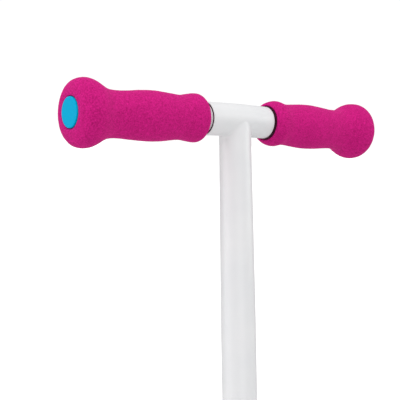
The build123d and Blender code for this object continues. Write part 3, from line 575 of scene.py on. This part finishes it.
# ---- Deck ----
# A moulded polypropylene tray, ribbed below and screwed to two steel straps across the spine.
# Moulded polypropylene: the magenta of the grips with a fine spark-eroded grain, softly satin.
poly, tree, shader = start_material("magenta_plastic", IOR=1.49)
shader.inputs["Specular IOR Level"].default_value = 0.3
place = add_node(tree, "ShaderNodeTexCoord").outputs["Object"]
grain = add_node(tree, "ShaderNodeTexNoise", {"Vector": place, "Scale": 1 / (0.5 * MM), "Detail": 3.0})
cloud = add_node(tree, "ShaderNodeTexNoise", {"Vector": place, "Scale": 1 / (40 * MM), "Detail": 2.0})
shade = add_node(tree, "ShaderNodeValToRGB", {"Fac": cloud.outputs["Fac"]})
shade.color_ramp.elements[0].color = linear("#B80F68")
shade.color_ramp.elements[1].color = linear("#C41672")
gloss = add_node(tree, "ShaderNodeMapRange", {"Value": grain.outputs["Fac"], "To Min": 0.36, "To Max": 0.5})
bump = add_node(
    tree, "ShaderNodeBump", {"Height": grain.outputs["Fac"], "Strength": 0.3, "Distance": 0.04 * MM}
)
tree.links.new(shade.outputs["Color"], shader.inputs["Base Color"])
tree.links.new(gloss.outputs["Result"], shader.inputs["Roughness"])
tree.links.new(bump.outputs["Normal"], shader.inputs["Normal"])
give(poly, "deck")
give(powder, "deck_straps")
give(zinc, "deck_screws")

# The rear hub caps are moulded in the deck's plastic, and pushed into the hubs.
give(poly, "rear_left_hub_cap", "rear_right_hub_cap")

# The grip pad is a sheet of moulded rubber stuck in the deck's top, with rows of raised bars that
# run across it and keep a shoe from sliding.
# Moulded rubber: charcoal, matt, with a fine grain.
charcoal, tree, shader = start_material("charcoal_rubber", Roughness=0.78)
shader.inputs["Specular IOR Level"].default_value = 0.3
place = add_node(tree, "ShaderNodeTexCoord").outputs["Object"]
grain = add_node(tree, "ShaderNodeTexNoise", {"Vector": place, "Scale": 1 / (0.5 * MM), "Detail": 4.0})
shade = add_node(tree, "ShaderNodeValToRGB", {"Fac": grain.outputs["Fac"]})
shade.color_ramp.elements[0].color = linear("#242427")
shade.color_ramp.elements[1].color = linear("#38383B")
bump = add_node(
    tree, "ShaderNodeBump", {"Height": grain.outputs["Fac"], "Strength": 0.4, "Distance": 0.06 * MM}
)
tree.links.new(shade.outputs["Color"], shader.inputs["Base Color"])
tree.links.new(bump.outputs["Normal"], shader.inputs["Normal"])
give(charcoal, "deck_grip_pad")


def block(name, low, high, round_off=0.0, steps=3):
    """A box between two corners in mm, with its edges rounded."""
    bpy.ops.object.select_all(action="DESELECT")
    middle_at = [(a + b) / 2 * MM for a, b in zip(low, high)]
    bpy.ops.mesh.primitive_cube_add(size=1, location=middle_at)
    made = bpy.context.object
    made.name = name
    made.scale = [(b - a) * MM for a, b in zip(low, high)]
    bpy.ops.object.transform_apply(location=True, rotation=True, scale=True)
    if round_off:
        modify(made, "BEVEL", width=round_off * MM, segments=steps)
        bpy.ops.object.shade_smooth_by_angle(angle=math.radians(40))
    return made


def join(pieces, name):
    """Several pieces as one mesh."""
    bpy.ops.object.select_all(action="DESELECT")
    for piece in pieces:
        piece.select_set(True)
    bpy.context.view_layer.objects.active = pieces[0]
    bpy.ops.object.join()
    made = bpy.context.object
    made.name = name
    return made


pad_low, pad_high = (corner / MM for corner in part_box("deck_grip_pad"))
bars = []
bar_pitch, bar_wide, bar_sunk, bar_proud = 9.0, 3.2, 0.4, 0.8
pad_border = 8
bar_rows = int((pad_high.y - pad_low.y - 2 * pad_border) / bar_pitch)
first_row = (pad_low.y + pad_high.y - bar_pitch * (bar_rows - 1)) / 2
for row in range(bar_rows):
    back = first_row + bar_pitch * row - bar_wide / 2
    reach = 40.0 if row in (0, bar_rows - 1) else 50.0
    # the rows' gaps are staggered: two bars in one row and three in the next
    spans = ((-reach, -18.0), (-16.0, 16.0), (18.0, reach)) if row % 2 else ((-reach, -2.0), (2.0, reach))
    for left, far in spans:
        low_corner = (left, back, pad_high.z - bar_sunk)
        bars.append(block("bar", low_corner, (far, back + bar_wide, pad_high.z + bar_proud), 0.5, 2))
tread = join(bars, "pad_bars")
give(charcoal, tread)
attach(tread, "frame")

# ---- Brake ----
# The fender is moulded like the deck and hinged on a steel bracket welded to the spine. Low ridges
# across its top give the heel a hold, and a rubber shoe under it rubs on each rear tyre.
give(powder, "brake_bracket")
give(zinc, "brake_pin")
give(poly, "brake_fender")
give(charcoal, "brake_shoes")
fender_r = 69.0
axle_at = Vector((0, *Vector(joints["rear_left_wheel_spin"]["pos_m"]).yz))
ridges = []
for step in range(7):
    # the middle ridge is the longest
    reach = 46.0 - 3.0 * abs(step - 3)
    ridge = block("ridge", (-reach, -1.3, fender_r - 0.6), (reach, 1.3, fender_r + 0.9), 0.6, 3)
    tilt = Matrix.Rotation(math.radians(20 - 8 * step), 4, "X")
    ridge.data.transform(Matrix.Translation(axle_at) @ tilt)
    ridges.append(ridge)
heel_ridges = join(ridges, "heel_ridges")
give(poly, heel_ridges)
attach(heel_ridges, "brake")

# ---- Brake spring ----
# A torsion spring of hard wire wound round the brake's pin. Its lower leg leans on the bracket and
# its upper leg lifts the fender, so the upper leg turns with the fender when the brake is pressed.
# Phosphated music wire: dark grey, with a slight oily sheen.
wire, tree, shader = start_material("phosphated_wire", Metallic=1.0, Roughness=0.38)
place = add_node(tree, "ShaderNodeTexCoord").outputs["Object"]
grain = add_node(tree, "ShaderNodeTexNoise", {"Vector": place, "Scale": 1 / (0.8 * MM), "Detail": 3.0})
shade = add_node(tree, "ShaderNodeValToRGB", {"Fac": grain.outputs["Fac"]})
shade.color_ramp.elements[0].color = linear("#5C5E61")
shade.color_ramp.elements[1].color = linear("#7C7E82")
tree.links.new(shade.outputs["Color"], shader.inputs["Base Color"])
spring_mesh = nodes["brake_spring"].data.copy()
spring = bpy.data.objects.new("brake_torsion_spring", spring_mesh)
bpy.context.scene.collection.objects.link(spring)
bpy.ops.object.select_all(action="DESELECT")
spring.select_set(True)
bpy.context.view_layer.objects.active = spring
bpy.ops.object.mode_set(mode="EDIT")
bpy.ops.mesh.select_all(action="SELECT")
bpy.ops.mesh.remove_doubles(threshold=0.001 * MM)
bpy.ops.object.mode_set(mode="OBJECT")
bpy.ops.object.shade_smooth_by_angle(angle=math.radians(40))
give(wire, spring)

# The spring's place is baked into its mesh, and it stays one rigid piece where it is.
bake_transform(spring)
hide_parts("brake_spring")
